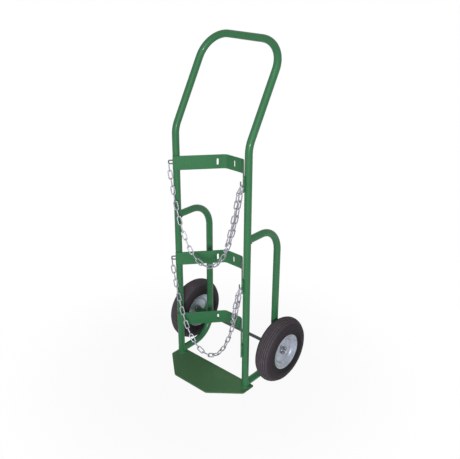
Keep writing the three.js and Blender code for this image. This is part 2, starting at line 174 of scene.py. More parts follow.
class CartFinishes(bpy.types.PropertyGroup):
    enamel: FloatVectorProperty(
        name="Enamel", description="Green enamel of the frame", subtype="COLOR",
        size=3, min=0, max=1, default=(0.036, 0.174, 0.069))
    plate: FloatVectorProperty(
        name="Toe Plate", description="Duller enamel of the toe plate", subtype="COLOR",
        size=3, min=0, max=1, default=(0.075, 0.18, 0.08))
    rubber: FloatVectorProperty(
        name="Rubber", description="Tyre rubber", subtype="COLOR",
        size=3, min=0, max=1, default=(0.034, 0.028, 0.033))
    wheel: FloatVectorProperty(
        name="Wheel Paint", description="Grey paint of the wheels", subtype="COLOR",
        size=3, min=0, max=1, default=(0.4, 0.44, 0.53))
    zinc: FloatVectorProperty(
        name="Zinc", description="Bright zinc of the chains and washers", subtype="COLOR",
        size=3, min=0, max=1, default=(0.36, 0.355, 0.41))
    axle: FloatVectorProperty(
        name="Axle Steel", description="Oiled steel of the axle", subtype="COLOR",
        size=3, min=0, max=1, default=(0.11, 0.12, 0.125))
    bronze: FloatVectorProperty(
        name="Bronze", description="Sintered bronze of the bushes", subtype="COLOR",
        size=3, min=0, max=1, default=(0.11, 0.1, 0.085))
    wear: FloatProperty(
        name="Wear", description="How much of the finish is scuffed", subtype="FACTOR",
        default=0.4, min=0, max=1)


class CartStudio(bpy.types.PropertyGroup):
    azimuth: FloatProperty(
        name="Azimuth", description="Camera's turn round the cart", subtype="ANGLE",
        default=math.radians(41.52))
    elevation: FloatProperty(
        name="Elevation", description="Camera's height angle", subtype="ANGLE",
        default=math.radians(24.47))
    roll: FloatProperty(
        name="Roll", description="Camera's tilt", subtype="ANGLE", default=math.radians(0.29))
    lens: FloatProperty(
        name="Lens", description="Focal length", subtype="DISTANCE_CAMERA", default=52.66)
    place: FloatVectorProperty(
        name="Place", description="Camera's place", subtype="TRANSLATION", unit="LENGTH",
        size=3, default=(1.4582, -1.5485, 1.5561))
    key_power: FloatProperty(
        name="Key Light", description="Power of the main soft light", subtype="POWER",
        default=88)
    high_power: FloatProperty(
        name="High Light", description="Power of the smaller light from above",
        subtype="POWER", default=12)
    back_power: FloatProperty(
        name="Back Light", description="Power of the soft light from behind",
        subtype="POWER", default=45)
    ambient: FloatProperty(
        name="Ambient", description="Strength of the light from all round",
        default=0.06, min=0, max=1)
    floor_shadow: FloatProperty(
        name="Floor Shadow", description="How much of the shadow the floor shows",
        subtype="FACTOR", default=0.06, min=0, max=1)


# ---------- shapes ----------

def millimetres(*values):
    return Vector(values) * MM


def about(centre, angle, axis):
    """A turn round an axis through a centre."""
    return Matrix.Translation(centre) @ Matrix.Rotation(angle, 4, axis) @ Matrix.Translation(-centre)


def standing(point, heading):
    """A place at a point, with its Z axis along the heading."""
    turn = heading.to_track_quat("Z", "Y").to_matrix().to_4x4()
    return Matrix.Translation(point) @ turn


def bent_route(corners, radius, steps):
    """Places along straight runs joined by arcs, each with its Z axis along the route.

    A place just inside each end keeps the shading of the end's edge from running on."""
    place = standing(corners[0], corners[1] - corners[0])
    inset = Matrix.Translation((0, 0, 2 * MM))
    places = [place, place @ inset]
    for before, corner, after in zip(corners, corners[1:], corners[2:]):
        arriving = (corner - before).normalized()
        leaving = (after - corner).normalized()
        angle = arriving.angle(leaving)
        axis = arriving.cross(leaving).normalized()
        start = corner - arriving * radius * math.tan(angle / 2)
        place = Matrix.Translation(start - place.translation) @ place
        places.append(place)
        count = max(2, round(steps * angle / (math.pi / 2)))
        turn = about(start + axis.cross(arriving) * radius, angle / count, axis)
        for _ in range(count):
            place = turn @ place
            places.append(place)
    last = Matrix.Translation(corners[-1] - place.translation) @ place
    return [*places, last @ inset.inverted(), last]


def smooth_route(points):
    """Places on a line of close points, turning as little as possible from each to the next."""
    place = standing(points[0], points[1] - points[0])
    places = [place]
    heading = (points[1] - points[0]).normalized()
    ahead = points[2:] + [2 * points[-1] - points[-2]]
    for before, point, after in zip(points, points[1:], ahead):
        turned = (after - before).normalized()
        spin = heading.rotation_difference(turned).to_matrix().to_4x4()
        loose = place.copy()
        loose.translation = Vector()
        place = Matrix.Translation(point) @ spin @ loose
        heading = turned
        places.append(place)
    return places


def sweep(bm, places, radius, sides, shape=None, closed=False):
    """Draws a ring of edges from place to place. Shape flattens or turns the ring."""
    shape = shape or Matrix.Identity(4)
    ring = bmesh.ops.create_circle(
        bm, segments=sides, radius=radius, matrix=places[0] @ shape)["verts"]
    first = list({edge for vert in ring for edge in vert.link_edges})
    edges = first
    for before, after in zip(places, places[1:]):
        made = bmesh.ops.extrude_edge_only(bm, edges=edges)["geom"]
        verts = [item for item in made if isinstance(item, bmesh.types.BMVert)]
        edges = [item for item in made
                 if isinstance(item, bmesh.types.BMEdge) and item.is_boundary]
        bmesh.ops.transform(bm, matrix=after @ before.inverted(), verts=verts)
    if closed:
        bmesh.ops.bridge_loops(bm, edges=first + edges)
    else:
        bmesh.ops.holes_fill(bm, edges=first + edges, sides=0)


def turned(bm, profile, centre, steps, closed=True):
    """Spins a profile of (radius, distance along X) points round the X axis through centre."""
    verts = [bm.verts.new(centre + Vector((along, 0, radius))) for radius, along in profile]
    pairs = list(zip(verts, verts[1:]))
    if closed:
        pairs.append((verts[-1], verts[0]))
    edges = [bm.edges.new(pair) for pair in pairs]
    bmesh.ops.spin(
        bm, geom=verts + edges, cent=centre, axis=X_AXIS, angle=math.tau,
        steps=steps, use_merge=True)
    bmesh.ops.remove_doubles(bm, verts=bm.verts, dist=1e-6)


def chamfered_ring(bore, radius, low, high, cut):
    """Profile of a ring with both rims cut back."""
    return [
        (bore, low), (radius - cut, low), (radius, low + cut),
        (radius, high - cut), (radius - cut, high), (bore, high),
    ]


def new_piece(name, bm, material, body, slot, *nodes, crease=35):
    """Makes the mesh an object that rides on a body and stands for the named nodes."""
    bmesh.ops.recalc_face_normals(bm, faces=bm.faces)
    mesh = bpy.data.meshes.new(name)
    bm.to_mesh(mesh)
    bm.free()
    mesh.materials.append(material)
    mesh.shade_smooth()
    mesh.set_sharp_from_angle(angle=math.radians(crease))
    piece = bpy.data.objects.new(name, mesh)
    bpy.context.scene.collection.objects.link(piece)
    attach(piece, body)
    if nodes:
        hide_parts(*nodes)
    return piece


def round_edges(piece, width):
    """Rounds the sharp edges, and leaves the facets of a bend alone."""
    bevel = piece.modifiers.new("Rounded edges", "BEVEL")
    bevel.width = width
    bevel.segments = 2
    bevel.limit_method = "ANGLE"
    bevel.angle_limit = math.radians(40)
    bevel.harden_normals = True


def cut_out(piece, cutters):
    """Cuts the cutters' solids out of the piece."""
    bmesh.ops.recalc_face_normals(cutters, faces=cutters.faces)
    mesh = bpy.data.meshes.new("Cutters")
    cutters.to_mesh(mesh)
    cutters.free()
    tool = bpy.data.objects.new("Cutters", mesh)
    bpy.context.scene.collection.objects.link(tool)
    boolean = piece.modifiers.new("Slots", "BOOLEAN")
    boolean.operation = "DIFFERENCE"
    boolean.solver = "EXACT"
    boolean.object = tool
    bpy.context.view_layer.update()
    graph = bpy.context.evaluated_depsgraph_get()
    result = bpy.data.meshes.new_from_object(piece.evaluated_get(graph))
    piece.modifiers.clear()
    whole = piece.data
    piece.data = result
    bpy.data.meshes.remove(whole)
    bpy.data.objects.remove(tool)
    bpy.data.meshes.remove(mesh)
    if not result.polygons:
        raise RuntimeError(f"nothing was left of {piece.name} after its slots were cut")


# ---------- shader building ----------

class Value:
    """A number in a material's nodes, so that shader maths reads as Python."""

    def __init__(self, finish, socket):
        self.finish = finish
        self.socket = socket

    def maths(self, operation, first, second):
        node = self.finish.node("ShaderNodeMath", {0: first, 1: second}, operation=operation)
        return Value(self.finish, node.outputs[0])

    def __add__(self, other):
        return self.maths("ADD", self, other)

    def __radd__(self, other):
        return self.maths("ADD", other, self)

    def __sub__(self, other):
        return self.maths("SUBTRACT", self, other)

    def __rsub__(self, other):
        return self.maths("SUBTRACT", other, self)

    def __mul__(self, other):
        return self.maths("MULTIPLY", self, other)

    def __rmul__(self, other):
        return self.maths("MULTIPLY", other, self)

    def __pow__(self, other):
        return self.maths("POWER", self, other)

    def larger(self, other):
        return self.maths("MAXIMUM", self, other)

    def sine(self):
        return self.maths("SINE", self, 0)

    def absolute(self):
        return self.maths("ABSOLUTE", self, 0)


class Finish:
    """A material under construction, with one Principled shader."""

    def __init__(self, name, **constants):
        self.material = bpy.data.materials.new(name)
        self.material.use_nodes = True
        self.tree = self.material.node_tree
        self.tree.nodes.clear()
        self.shader = self.node("ShaderNodeBsdfPrincipled")
        self.node("ShaderNodeOutputMaterial", {"Surface": self.shader.outputs["BSDF"]})
        for socket, value in constants.items():
            self.shader.inputs[socket.replace("_", " ")].default_value = value
        self.objects = self.node("ShaderNodeTexCoord").outputs["Object"]

    def node(self, kind, values=None, stops=None, **settings):
        """Adds a node: its settings first, then the values or links of its sockets."""
        node = self.tree.nodes.new(kind)
        for name, setting in settings.items():
            setattr(node, name, setting)
        for stop, (place, colour) in zip(node.color_ramp.elements if stops else (), stops or ()):
            stop.position = place
            stop.color = colour
        for name, value in (values or {}).items():
            self.feed(node.inputs[name], value)
        return node

    def feed(self, socket, value):
        source = value.socket if isinstance(value, Value) else value
        if isinstance(source, bpy.types.NodeSocket):
            self.tree.links.new(source, socket)
        else:
            socket.default_value = source

    def paint(self, **values):
        """Feeds the shader's sockets; an underscore stands for a space."""
        for name, value in values.items():
            self.feed(self.shader.inputs[name.replace("_", " ")], value)

    def moved(self, offset=(0, 0, 0), scale=(1, 1, 1)):
        """Object coordinates shifted so that offset becomes their origin, then scaled."""
        node = self.node(
            "ShaderNodeMapping",
            {"Vector": self.objects, "Location": [-a * b for a, b in zip(offset, scale)],
             "Scale": scale})
        return node.outputs[0]

    def noise(self, scale, detail=3, roughness=0.55, coordinates=None):
        node = self.node(
            "ShaderNodeTexNoise",
            {"Vector": coordinates or self.objects, "Scale": scale, "Detail": detail,
             "Roughness": roughness})
        return Value(self, node.outputs[0])

    def cells(self, scale):
        node = self.node("ShaderNodeTexVoronoi", {"Vector": self.objects, "Scale": scale})
        return Value(self, node.outputs["Distance"])

    def between(self, value, low, high, start=0.0, end=1.0):
        """Start below low, end above high, and a smooth change between."""
        node = self.node(
            "ShaderNodeMapRange",
            {"Value": value, "From Min": low, "From Max": high, "To Min": start, "To Max": end},
            interpolation_type="SMOOTHSTEP")
        return Value(self, node.outputs[0])

    def blend(self, factor, first, second):
        node = self.node(
            "ShaderNodeMix", {0: factor, 6: first, 7: second}, data_type="RGBA")
        return node.outputs[2]

    def shaded(self, colour, amount):
        """The colour made darker or lighter by a number near 1."""
        grey = self.node("ShaderNodeCombineColor", {0: amount, 1: amount, 2: amount})
        node = self.node(
            "ShaderNodeMix", {0: 1.0, 6: colour, 7: grey.outputs[0]},
            data_type="RGBA", blend_type="MULTIPLY")
        return node.outputs[2]

    def bump(self, height, strength, distance, normal=None):
        values = {"Height": height, "Strength": strength, "Distance": distance}
        if normal:
            values["Normal"] = normal
        return self.node("ShaderNodeBump", values).outputs[0]

    def edges(self, low=0.52, high=0.6):
        """1 on outer edges and corners."""
        geometry = self.node("ShaderNodeNewGeometry")
        return self.between(Value(self, geometry.outputs["Pointiness"]), low, high)

    def crease_shade(self):
        """Painted shade: dark in grooves and inner corners, and 1 elsewhere."""
        geometry = self.node("ShaderNodeNewGeometry")
        return self.between(Value(self, geometry.outputs["Pointiness"]), 0.42, 0.495, 0.45, 1.0)

    def axle_radius(self):
        """Distance from the line of the axle."""
        split = self.node("ShaderNodeSeparateXYZ", {0: self.moved((0, AXLE_Y, AXLE_Z))})
        y = Value(self, split.outputs["Y"])
        z = Value(self, split.outputs["Z"])
        return (y * y + z * z) ** 0.5


def rgba(colour, factor=1.0):
    return (*[channel * factor for channel in colour], 1.0)


# ---------- materials ----------

def enamel_finish(name, colour, scuffs, gloss=0.36):
    """Sprayed enamel over steel: orange peel, cloudy sheen, grey scuffs on edges, dust."""
    finish = Finish(name, Coat_Roughness=0.08, Coat_IOR=1.38, Specular_IOR_Level=0.25)
    clouds = finish.noise(9, 4)
    grain = finish.noise(160, 3)
    tint = finish.shaded(rgba(colour), 0.82 + 0.26 * clouds + 0.1 * grain)
    worn = finish.between(
        finish.edges() * 0.8 + finish.noise(70, 5, 0.7), 1.12 - 0.25 * scuffs, 1.3 - 0.2 * scuffs)
    specks = finish.between(finish.noise(420, 2), 0.74 - 0.06 * scuffs, 0.8)
    primer = finish.blend(specks * 0.55, tint, rgba((0.2, 0.24, 0.2)))
    bare = finish.blend(worn * 0.6, primer, rgba((0.23, 0.25, 0.24)))
    scratches = finish.between(
        finish.noise(30, 6, 0.75, finish.moved(scale=(1, 1, 9))), 0.64, 0.72)
    peel = finish.bump(finish.noise(330, 2), 0.07, 0.6 * MM)
    finish.paint(
        Base_Color=finish.blend(scratches * (0.25 * scuffs), bare, rgba(colour, 1.9)),
        Roughness=gloss + 0.12 * clouds + 0.25 * worn + 0.1 * scratches,
        Metallic=worn * 0.5,
        Coat_Weight=0.16 - worn * 0.16,
        Normal=finish.bump(1 - worn, 0.25, 0.15 * MM, peel),
    )
    return finish.material


def hook_finish(name, colour):
    """Enamel that the chain has rubbed off the hook's seat and tip, down to dull steel."""
    finish = Finish(name, Specular_IOR_Level=0.3)
    split = finish.node("ShaderNodeSeparateXYZ", {0: finish.objects})
    clouds = finish.noise(150, 4, 0.65)
    edge = Value(finish, split.outputs["X"]) + clouds * (4 * MM)
    rubbed = finish.between(edge, 165 * MM, 169 * MM, 1.0, 0.0)
    paint = finish.shaded(rgba(colour), 0.6 + 0.5 * clouds)
    steel = finish.shaded(rgba((0.2, 0.2, 0.22)), 0.6 + 0.7 * clouds)
    finish.paint(
        Base_Color=finish.blend(rubbed, paint, steel),
        Roughness=0.3 + 0.25 * clouds,
        Metallic=rubbed * 0.8,
        Normal=finish.bump(clouds, 0.15, 0.2 * MM),
    )
    return finish.material


def rubber_finish(name, colour):
    """Matt moulded rubber with fine turned lines and a dusty tread, painted shade on the walls
    towards the disc and in the grooves, and a painted highlight on the crown.
    """
    finish = Finish(name, Specular_IOR_Level=0.15)
    radius = finish.axle_radius()
    lines = (radius * 3600).sine() * 0.5 + 0.5
    clouds = finish.noise(14, 5, 0.6)
    tread = finish.between(radius, 104 * MM, 121 * MM)
    dust = tread * (0.55 + finish.between(finish.noise(55, 5, 0.65), 0.5, 0.75))
    split = finish.node("ShaderNodeSeparateXYZ", {0: finish.objects})
    across = Value(finish, split.outputs["X"]).absolute() - WHEEL_X
    rows = (across * (math.tau / (6.85 * MM)) + math.pi / 2).sine()
    # Painted shade darkens the tread grooves.
    grooves = tread * finish.between(rows, 0.4, 0.9)
    # Painted shade darkens the walls towards the disc, a painted highlight lightens the crown, and
    # painted shade darkens grooves and inner corners.
    wall = finish.between(radius, 70 * MM, 108 * MM, 0.4, 1.15)
    crown_highlight = finish.between(radius, 104 * MM, 122 * MM, 0.0, 1.1)
    shade = (wall + crown_highlight) * finish.crease_shade()
    tint = finish.shaded(rgba(colour), (1 - 0.6 * grooves) * shade * (0.78 + 0.4 * clouds))
    pores = finish.bump(finish.noise(700, 3), 0.25, 0.3 * MM)
    finish.paint(
        Base_Color=finish.blend((1 - grooves) * dust * 0.35, tint, rgba((0.17, 0.15, 0.17))),
        Roughness=0.55 + 0.2 * clouds + 0.1 * dust,
        Normal=finish.bump(lines, 0.35, 0.25 * MM, pores),
    )
    return finish.material


def wheel_finish(name, colour):
    """Silver-grey painted pressed steel with turned marks, darker near the hub, greenish-grey
    patches of painted reflection and painted shade in its grooves.
    """
    finish = Finish(name, Coat_Roughness=0.2)
    radius = finish.axle_radius()
    marks = finish.noise(1, 3, 0.6, finish.node(
        "ShaderNodeCombineXYZ", {0: radius * 900}).outputs[0])
    clouds = finish.noise(24, 5, 0.6)
    rust = finish.between(finish.noise(90, 5, 0.7), 0.62, 0.72)
    # Darker towards the hub, and brown where rusty.
    hub_darkening = finish.between(radius, 12 * MM, 20 * MM, 1.0, 0.0) * 0.3
    # Greenish-grey patches are painted reflections of the dark surroundings.
    patches = finish.blend(
        finish.between(finish.noise(15, 3), 0.44, 0.56), rgba((0.32, 0.38, 0.38)), rgba(colour))
    # Painted shade in grooves and inner corners.
    tint = finish.shaded(
        patches, finish.crease_shade() * (0.1 + 1.35 * clouds + 0.35 * marks))
    darkened = finish.blend(
        (hub_darkening + 0.3 * rust) * (0.4 + clouds), tint, rgba((0.1, 0.085, 0.08)))
    finish.paint(
        Base_Color=darkened,
        Roughness=0.2 + 0.2 * clouds + 0.2 * rust,
        Metallic=0.5 - 0.3 * rust,
        Coat_Weight=0.25 - 0.25 * rust,
        Normal=finish.bump(marks + 0.3 * clouds, 0.3, 0.2 * MM),
    )
    return finish.material


def zinc_finish(name, colour):
    """Bright zinc plate: crystal patches, white bloom and dark rubbed spots."""
    finish = Finish(name)
    patches = finish.cells(260)
    clouds = finish.noise(60, 4, 0.6)
    bloom = finish.between(finish.noise(130, 4, 0.65), 0.56, 0.7)
    rubbed = finish.between(finish.noise(45, 4, 0.7), 0.53, 0.68)
    tint = finish.shaded(rgba(colour), 0.7 + 0.3 * clouds + 0.35 * patches)
    pale = finish.blend(bloom * 0.35, tint, rgba((0.75, 0.77, 0.8)))
    finish.paint(
        Base_Color=finish.blend(rubbed * 0.6, pale, rgba((0.1, 0.105, 0.125))),
        Roughness=0.3 + 0.18 * clouds + 0.2 * bloom,
        Metallic=0.75 - 0.35 * bloom,
        Normal=finish.bump(patches + clouds, 0.12, 0.2 * MM),
    )
    return finish.material


def steel_finish(name, colour, spots):
    """Drawn bar: fine lines along X, oil stains and small rust spots."""
    finish = Finish(name)
    lines = finish.noise(1, 3, 0.6, finish.moved(scale=(60, 1400, 1400)))
    stains = finish.noise(32, 4, 0.65)
    rust = finish.between(finish.noise(150, 5, 0.7), 0.6, 0.7)
    tint = finish.shaded(rgba(colour), 0.6 + 0.5 * stains + 0.3 * lines)
    split = finish.node("ShaderNodeSeparateXYZ", {0: finish.objects})
    ends = finish.between(
        Value(finish, split.outputs["X"]).absolute(), OUTER_WASHER_X, OUTER_WASHER_X + 6 * MM)
    bright = finish.blend(ends * 0.8, tint, rgba((0.55, 0.57, 0.63)))
    finish.paint(
        Base_Color=finish.blend(rust * spots, bright, rgba((0.13, 0.06, 0.03))),
        Roughness=0.3 + 0.2 * stains + 0.3 * rust,
        Metallic=0.9 - 0.6 * rust,
        Normal=finish.bump(lines, 0.15, 0.1 * MM),
    )
    return finish.material


def bronze_finish(name, colour):
    """Sintered bronze: a grainy, slightly oily surface."""
    finish = Finish(name)
    grains = finish.cells(1500)
    stains = finish.noise(60, 4)
    finish.paint(
        Base_Color=finish.shaded(rgba(colour), 0.65 + 0.4 * grains + 0.3 * stains),
        Roughness=0.38 + 0.25 * stains,
        Metallic=0.8 + 0.1 * stains,
        Normal=finish.bump(grains, 0.2, 0.1 * MM),
    )
    return finish.material


def material(name):
    """The named finish, made once."""
    ready = bpy.data.materials.get(name)
    if ready:
        return ready
    colours = bpy.context.scene.cart_finishes
    makers = {
        "Green enamel": lambda: enamel_finish(name, colours.enamel, colours.wear),
        "Plate enamel": lambda: enamel_finish(name, colours.plate, 0.9, 0.62),
        "Hook enamel": lambda: hook_finish(name, colours.enamel),
        "Tyre rubber": lambda: rubber_finish(name, colours.rubber),
        "Wheel paint": lambda: wheel_finish(name, colours.wheel),
        "Zinc plate": lambda: zinc_finish(name, colours.zinc),
        "Rubbed zinc": lambda: zinc_finish(name, [channel * 0.7 for channel in colours.zinc]),
        "Dull zinc": lambda: zinc_finish(name, [channel * 0.25 for channel in colours.zinc]),
        "Axle steel": lambda: steel_finish(name, colours.axle, 0.5),
        "Bush bronze": lambda: bronze_finish(name, colours.bronze),
    }
    return makers[name]()


# ---------- where the straps, hooks and chains lie ----------

def strap_direction():
    """Direction in plan of a strap's right leg, from its upright back to its bend."""
    upright = Vector((UPRIGHT_X, 0, 0))
    to_bend = Vector((CRADLE_FLAT, CRADLE_DEPTH, 0)) - upright
    turn = math.asin((TUBE_RADIUS + 0.3 * MM + STRAP_THICKNESS / 2) / to_bend.length)
    return Matrix.Rotation(-turn, 3, Z_AXIS) @ to_bend.normalized()


def strap_touch():
    """Middle of the right strap end where it touches its upright, at height 0."""
    run = strap_direction()
    face = Vector((-run.y, run.x, 0))
    return Vector((UPRIGHT_X, 0, 0)) + face * (TUBE_RADIUS + STRAP_THICKNESS / 2)


def strap_end():
    run = strap_direction()
    face = Vector((-run.y, run.x, 0))
    touch = Vector((UPRIGHT_X, 0, 0)) + face * (TUBE_RADIUS + 0.3 * MM + STRAP_THICKNESS / 2)
    return touch - run * STRAP_END_LENGTH


def on_side(point, side, height=0.0):
    """The point at a height, on the right (1) or mirrored to the left (-1)."""
    return Vector((side * point.x, point.y, point.z + height))


def chain_line(swing):
    """The hanging chain's centre line, from the eye on the left to the hook on the right."""
    half = [millimetres(x, 0, rise - CHAIN_SAG) for x, rise in CHAIN_HALF]
    left = [Vector((-point.x, 0, point.z)) for point in half[:0:-1]]
    middle = Vector((CHAIN_MIDDLE_X * MM, HANG_Y, swing))
    return [middle + point for point in left + half]


def tail_line(swing, links):
    """The free end's centre line, from beside the hook down in front of the chain."""
    points = [millimetres(x, 0, rise - CHAIN_SAG) for x, rise in CHAIN_HALF[::-1]]
    forward = Vector((0, HANG_Y - TAIL_FORWARD, swing))
    return [forward + point for point in points[:links + 2]]


def walk(points, start, step, count):
    """Points at equal steps along a line, which is drawn on straight past both its ends."""
    first = points[0] - (points[1] - points[0]).normalized() * step
    last = points[-1] + (points[-1] - points[-2]).normalized() * step
    line = [first, *points, last]
    lengths = [(b - a).length for a, b in zip(line, line[1:])]
    places = []
    for k in range(count):
        left = start + step + k * step
        for a, b, length in zip(line, line[1:], lengths):
            if left <= length:
                break
            left -= length
        places.append(a.lerp(b, left / length))
    return places


# ---------- operators ----------

class CART_OT_camera(bpy.types.Operator):
    """Places the camera"""
    bl_idname = "cart.camera"
    bl_label = "Camera"

    def execute(self, context):
        studio = context.scene.cart_studio
        a, e, r = studio.azimuth, studio.elevation, studio.roll
        back = Vector((math.sin(a) * math.cos(e), -math.cos(a) * math.cos(e), math.sin(e)))
        level = Vector((math.cos(a), math.sin(a), 0))
        up = back.cross(level)
        right = level * math.cos(r) + up * math.sin(r)
        above = up * math.cos(r) - level * math.sin(r)
        data = bpy.data.cameras.new("Camera")
        data.lens = studio.lens
        data.sensor_width = 36
        data.sensor_fit = "HORIZONTAL"
        data.clip_end = 100
        camera = bpy.data.objects.new("Camera", data)
        turn = Matrix((right, above, back)).transposed().to_4x4()
        camera.matrix_world = Matrix.Translation(studio.place) @ turn
        context.scene.collection.objects.link(camera)
        context.scene.camera = camera
        return {"FINISHED"}


class CART_OT_chains(bpy.types.Operator):
    """Hangs both chains link by link, each with its free end and its clip"""
    bl_idname = "cart.chains"
    bl_label = "Chains and Clips"

    tail_twist = math.radians(45)

    def link_mesh(self, wire):
        """One welded link, with its length along Z and its width along X."""
        radius = (CHAIN_WIDTH - wire) / 2
        straight = self.pitch / 2 + wire / 2 - radius
        place = Matrix.Translation((radius, 0, -straight))
        places = []
        for end in (straight, -straight):
            places.append(place)
            place = Matrix.Translation((0, 0, 2 * end)) @ place
            places.append(place)
            turn = about(Vector((0, 0, end)), -math.pi / 7, Y_AXIS)
            for _ in range(6):
                place = turn @ place
                places.append(place)
            place = turn @ place
        bm = bmesh.new()
        sweep(bm, places, wire / 2, 8, closed=True)
        bmesh.ops.recalc_face_normals(bm, faces=bm.faces)
        mesh = bpy.data.meshes.new("Link")
        bm.to_mesh(mesh)
        bm.free()
        return mesh

    def add_link(self, bm, low, high, across):
        """A link between two contact points, with its plane's normal near across."""
        axis = (high - low).normalized()
        normal = (across - axis * across.dot(axis)).normalized()
        turn = Matrix((normal.cross(axis), normal, axis)).transposed().to_4x4()
        have = len(bm.verts)
        bm.from_mesh(self.link)
        bm.verts.ensure_lookup_table()
        bmesh.ops.transform(
            bm, matrix=Matrix.Translation((low + high) / 2) @ turn, verts=bm.verts[have:])

    def hanging_chain(self, name, swing):
        points = chain_line(swing)
        contacts = walk(points, -2.5 * MM, self.pitch, 30)
        leg = -strap_direction()
        start = math.atan2(leg.y, leg.x)
        bm = bmesh.new()
        last = len(contacts) - 2
        for k, (low, high) in enumerate(zip(contacts, contacts[1:])):
            lean = Y_AXIS.cross((high - low).normalized())
            angle = start * (1 - (k / last) ** 4) + (k % 2) * math.pi / 2
            self.add_link(bm, low, high, lean * math.cos(angle) + Y_AXIS * math.sin(angle))
        piece = new_piece(
            f"{name}_hanging_chain", bm, material("Zinc plate"), f"{name}_chain",
            "zinc_plate", f"{name}_chain", crease=80)

    def chain_tail(self, name, swing, links):
        top = Vector((165, -35.1, -4.5)) * MM + Vector((0, 0, swing))
        down = walk(tail_line(swing, links), 19 * MM, self.pitch, links + 1)
        bm = bmesh.new()
        self.add_link(bm, top, down[0], Vector((0, 0.8, -0.5)))
        for k, (low, high) in enumerate(zip(down, down[1:])):
            twist = self.tail_twist * math.sin(math.pi * k / (links - 1)) + (k % 2) * math.pi / 2
            across = X_AXIS * math.cos(twist) + Y_AXIS * math.sin(twist)
            self.add_link(bm, low, high, across)
        tail = new_piece(
            f"{name}_chain_free_end", bm, material("Zinc plate"), f"{name}_chain",
            "zinc_plate", f"{name}_chain_tail", crease=80)
        clip = self.clip(name, down[-1], (down[-2] - down[-1]).normalized())

    def clip(self, name, end, up):
        """An S-shaped clip through the free end's last link."""
        across = Vector((up.z, 0, -up.x))
        centre = end - up * 17 * MM
        half, top = 4.5 * MM, 19 * MM
        outline = [
            (half, top - 9 * MM), (half, top), (-half, top), (-half, 3 * MM),
            (half, -3 * MM), (half, -top), (-half, -top), (-half, 9 * MM - top),
        ]
        corners = [centre + across * u + up * v for u, v in outline]
        bm = bmesh.new()
        sweep(bm, bent_route(corners, 4.3 * MM, 8), 2 * MM, 12)
        return new_piece(
            f"{name}_chain_s_clip", bm, material("Zinc plate"), f"{name}_chain",
            "zinc_plate", f"{name}_chain_clip", crease=60)

    def execute(self, context):
        sizes = context.scene.cart_sizes
        self.pitch = sizes.link_pitch
        self.link = self.link_mesh(sizes.link_wire)
        for name, links in (("upper", 7), ("lower", 3)):
            self.hanging_chain(name, SWING_LINES[name])
            self.chain_tail(name, SWING_LINES[name], links)
        bpy.data.meshes.remove(self.link)
        return {"FINISHED"}


class CART_OT_tubes(bpy.types.Operator):
    """Bends the frame's main tube and its two side loops"""
    bl_idname = "cart.tubes"
    bl_label = "Frame Tubes"

    def tube(self, context, name, corners, node):
        sizes = context.scene.cart_sizes
        bm = bmesh.new()
        sweep(bm, bent_route(corners, TUBE_BEND, sizes.bend_steps), TUBE_RADIUS, sizes.tube_sides)
        new_piece(name, bm, material("Green enamel"), "frame", "green_enamel", node)

    def execute(self, context):
        foot = Vector((UPRIGHT_X, 0, PLATE_THICKNESS))
        bend = Vector((UPRIGHT_X, 0, HANDLE_BEND_Z))
        left = [on_side(point, -1) for point in (foot, bend, HANDLE_TOP)]
        self.tube(context, "bent_frame_tube", left + [HANDLE_TOP, bend, foot], "main_frame_tube")
        for side, name in ((-1, "left"), (1, "right")):
            x = side * UPRIGHT_X
            corners = [
                Vector((x, 0, LOOP_TOP_Z)), Vector((x, LOOP_DEPTH, LOOP_TOP_Z)),
                Vector((x, LOOP_DEPTH, LOOP_FOOT_Z)), Vector((x, 0, LOOP_FOOT_Z)),
            ]
            self.tube(context, f"{name}_bent_side_loop", corners, f"side_loop_{name}")
        return {"FINISHED"}


class CART_OT_straps(bpy.types.Operator):
    """Bends the three flat cradle straps and cuts their slots"""
    bl_idname = "cart.straps"
    bl_label = "Cradle Straps"

    def slots(self, z):
        run = strap_direction()
        bend = Vector((CRADLE_FLAT, CRADLE_DEPTH, 0))
        side = bend - run * SLOT_FROM_BEND
        turn = math.atan2(run.y, run.x)
        cutters = bmesh.new()
        half_depth = 2 * STRAP_THICKNESS
        for point, angle in (
            (Vector((0, CRADLE_DEPTH, 0)), 0.0), (side, turn), (on_side(side, -1), -turn),
        ):
            place = (Matrix.Translation(point + Vector((0, 0, z)))
                     @ Matrix.Rotation(angle, 4, "Z") @ Matrix.Rotation(math.pi / 2, 4, "X"))
            lift = place @ Matrix.Translation((0, 0, -half_depth)) @ Matrix.Rotation(
                math.pi / 24, 4, "Z")
            ring = bmesh.ops.create_circle(
                cutters, segments=24, radius=3.5 * MM, cap_ends=True, matrix=lift)["verts"]
            for sign in (-1, 1):
                half = [vert for vert in ring if sign * (vert.co.z - z) > 0]
                bmesh.ops.translate(cutters, verts=half, vec=Z_AXIS * sign * 8.5 * MM)
            face = ring[0].link_faces[0]
            made = bmesh.ops.extrude_face_region(cutters, geom=[face])["geom"]
            verts = [item for item in made if isinstance(item, bmesh.types.BMVert)]
            through = place.to_3x3() @ Vector((0, 0, 2 * half_depth))
            bmesh.ops.translate(cutters, verts=verts, vec=through)
        return cutters

    def execute(self, context):
        sizes = context.scene.cart_sizes
        shape = Matrix.Diagonal((STRAP_THICKNESS, STRAP_HEIGHT, 1, 1)) @ Matrix.Rotation(
            math.pi / 4, 4, "Z")
        end = strap_end()
        bend = Vector((CRADLE_FLAT, CRADLE_DEPTH, 0))
        for name, z in STRAP_HEIGHTS.items():
            corners = [
                on_side(end, -1, z), on_side(bend, -1, z), on_side(bend, 1, z), on_side(end, 1, z),
            ]
            bm = bmesh.new()
            sweep(bm, bent_route(corners, STRAP_BEND, sizes.bend_steps), math.sqrt(0.5), 4, shape)
            strap = new_piece(
                f"{name}_bent_strap", bm, material("Green enamel"), "frame", "green_enamel",
                f"cradle_strap_{name}")
            cut_out(strap, self.slots(z))
            round_edges(strap, sizes.edge_round)
        return {"FINISHED"}


